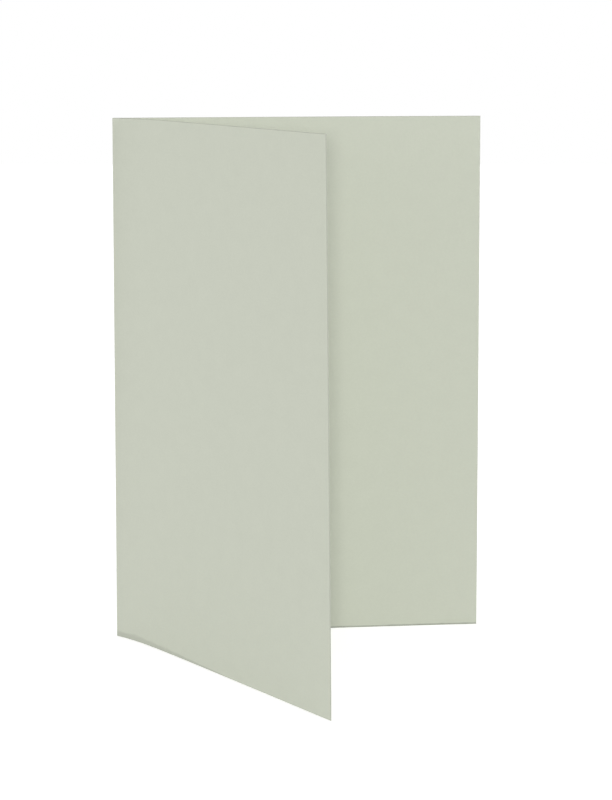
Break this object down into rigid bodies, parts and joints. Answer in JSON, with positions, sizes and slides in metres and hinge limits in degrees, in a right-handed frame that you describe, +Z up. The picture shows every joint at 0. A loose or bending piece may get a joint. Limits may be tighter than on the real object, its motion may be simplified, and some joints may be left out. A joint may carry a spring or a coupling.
{
  "type": "folded card",
  "caption": "Plain card folded once along its left side, standing open on its lower edges with the front panel bowed forward.",
  "frame": {"origin": "middle of the card's footprint, on the surface it stands on", "axes": "+Z up along the fold, +X from the fold along the back panel, +Y away from the viewer, so the front panel swings towards -Y"},
  "size_m": [0.1472, 0.1414, 0.21],
  "materials": {
    "card_stock": "matte"
  },
  "bodies": {
    "root": {"card": "card_stock"}
  },
  "joints": []
}
